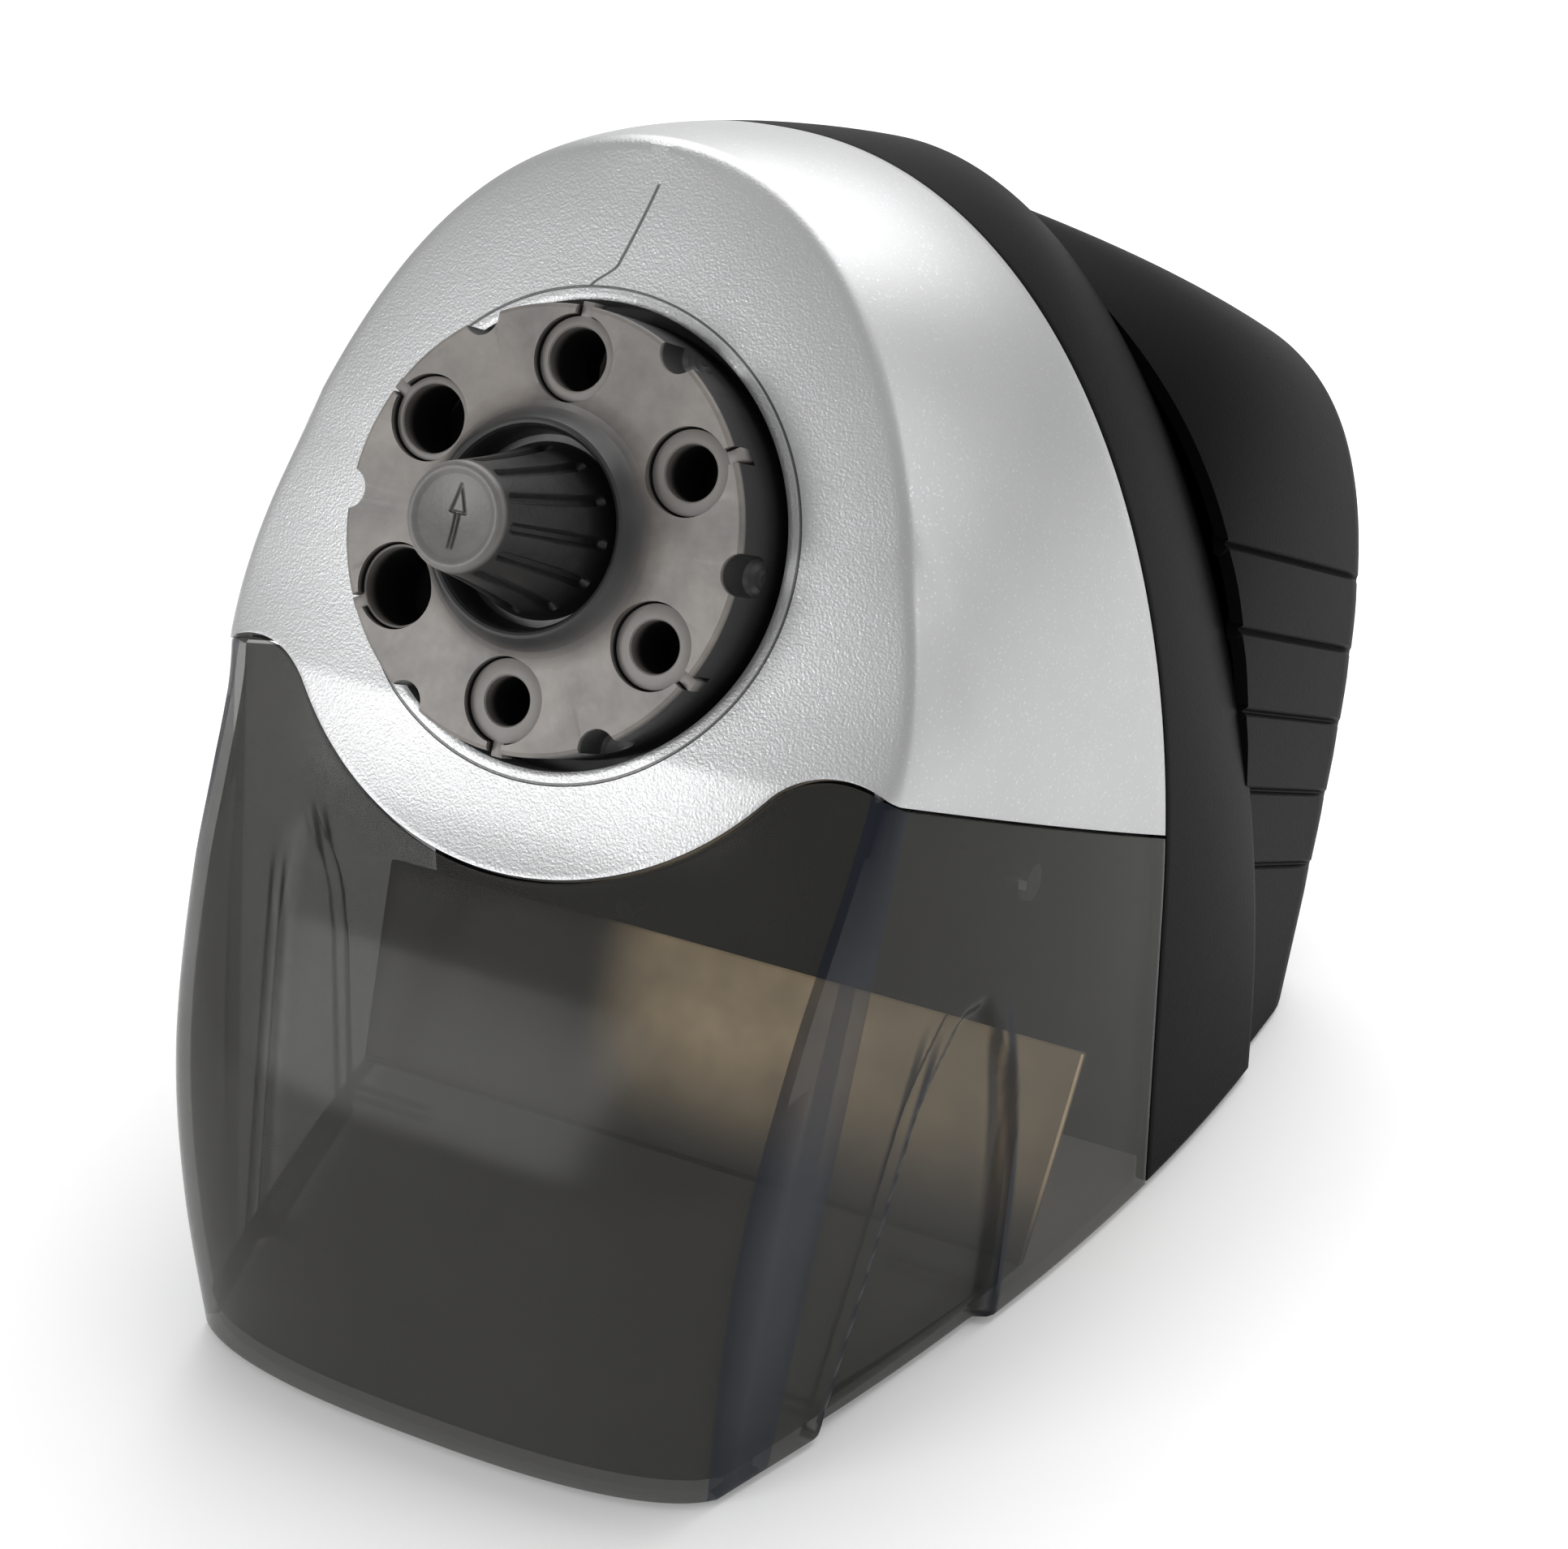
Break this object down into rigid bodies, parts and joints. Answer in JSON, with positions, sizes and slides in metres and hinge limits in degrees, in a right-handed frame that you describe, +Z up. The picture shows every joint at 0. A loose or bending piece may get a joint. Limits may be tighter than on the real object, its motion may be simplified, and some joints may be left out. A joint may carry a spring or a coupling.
{
  "type": "pencil sharpener",
  "caption": "Electric desktop pencil sharpener with a turning dial of graded pencil holes, a sloping silver front, a smoke-clear pull-out shavings bin and a black motor housing.",
  "frame": {"origin": "on the table under the middle of the object's box", "axes": "+Z up, +Y to the back along the object's length, +X to the right seen from the front"},
  "size_m": [0.1546, 0.2504, 0.1902],
  "materials": {
    "silver_cover": "silver metallic paint on moulded plastic, fine spark texture",
    "smoke_bin": "polished smoke-grey clear moulding",
    "black_housing": "black moulded plastic, fine satin grain",
    "dial_grey": "warm dark grey satin plastic",
    "black_knob": "black satin plastic with fluted sides",
    "rubber": "moulded black rubber",
    "steel": "plain zinc-plated or turned steel",
    "cutter_steel": "hardened ground cutter steel",
    "dark_steel": "die-cast or laminated dark steel",
    "nylon": "natural moulded nylon",
    "bronze": "oil-filled sintered bronze",
    "copper_wire": "enamelled copper winding"
  },
  "bodies": {
    "housing": {"front_cover": "silver_cover", "main_housing": "black_housing", "bulkhead": "black_housing", "rear_housing": "black_housing", "base_plate": "black_housing", "foot_front_left": "rubber", "foot_rear_left": "rubber", "foot_front_right": "rubber", "foot_rear_right": "rubber", "base_screw_front_left": "steel", "base_screw_rear_left": "steel", "base_screw_front_right": "steel", "base_screw_rear_right": "steel", "cover_screw_left": "steel", "cover_screw_right": "steel", "cord_gland": "rubber", "dial_mount": "black_housing", "mount_screw_1": "steel", "mount_screw_2": "steel", "mount_screw_3": "steel", "mount_screw_4": "steel", "dial_stud": "steel", "dial_clip": "steel", "detent_spring": "steel", "pencil_guide": "nylon", "lever_pin": "steel", "start_switch": "black_housing", "ring_gear": "steel", "cutting_head_housing": "black_housing", "head_bearing": "bronze", "stator_core": "dark_steel", "field_coil": "copper_wire", "motor_bracket_front": "steel", "motor_bracket_rear": "steel", "motor_bearing_front": "bronze", "motor_bearing_rear": "bronze", "interlock_switch": "black_housing"},
    "dial": {"dial_disc": "dial_grey", "guide_bush_1": "dial_grey", "guide_bush_2": "dial_grey", "guide_bush_3": "dial_grey", "guide_bush_4": "dial_grey", "guide_bush_5": "dial_grey", "guide_bush_6": "dial_grey", "selector_knob": "black_knob"},
    "carrier": {"cutter_carrier": "dark_steel", "cutter_axle": "steel", "drive_gear": "nylon"},
    "cutter": {"helical_cutter": "cutter_steel"},
    "motor_rotor": {"motor_shaft": "steel", "motor_pinion": "steel", "rotor": "dark_steel", "cooling_fan": "black_housing"},
    "lever": {"start_lever": "nylon"},
    "bin": {"shavings_bin": "smoke_bin"},
    "plunger": {"interlock_plunger": "nylon"}
  },
  "joints": [
    {"name": "dial_turn", "type": "hinge", "parent": "housing", "child": "dial", "pos_m": [0, -0.07946, 0.1405], "axis": [0, 0.8988, -0.4384], "continuous": true, "deforming": ["detent_spring"]},
    {"name": "bin_slide", "type": "slide", "parent": "housing", "child": "bin", "axis": [0, -1, 0], "range_m": [0, 0.12]},
    {"name": "motor_spin", "type": "hinge", "parent": "housing", "child": "motor_rotor", "pos_m": [0, -0.08121, 0.1369], "axis": [0, 0.8988, -0.4384], "continuous": true},
    {"name": "carrier_spin", "type": "hinge", "parent": "housing", "child": "carrier", "pos_m": [0, -0.06806, 0.16387], "axis": [0, 0.8988, -0.4384], "continuous": true},
    {"name": "cutter_spin", "type": "hinge", "parent": "carrier", "child": "cutter", "pos_m": [0, -0.03141, 0.13264], "axis": [0, 0.9659, -0.2588], "continuous": true},
    {"name": "lever_press", "type": "hinge", "parent": "housing", "child": "lever", "pos_m": [0, -0.03971, 0.16451], "axis": [1, 0, 0], "range_deg": [0, 20], "stiffness_Nm_per_rad": 0.02, "springref_deg": -22.92},
    {"name": "plunger_press", "type": "slide", "parent": "housing", "child": "plunger", "axis": [0, 1, 0], "range_m": [0, 0.0015], "stiffness_N_per_m": 200, "springref_m": -0.003}
  ],
  "couplings": [
    {"joint": "carrier_spin", "follows": "motor_spin", "ratio": -0.25},
    {"joint": "cutter_spin", "follows": "motor_spin", "ratio": 0.75}
  ]
}
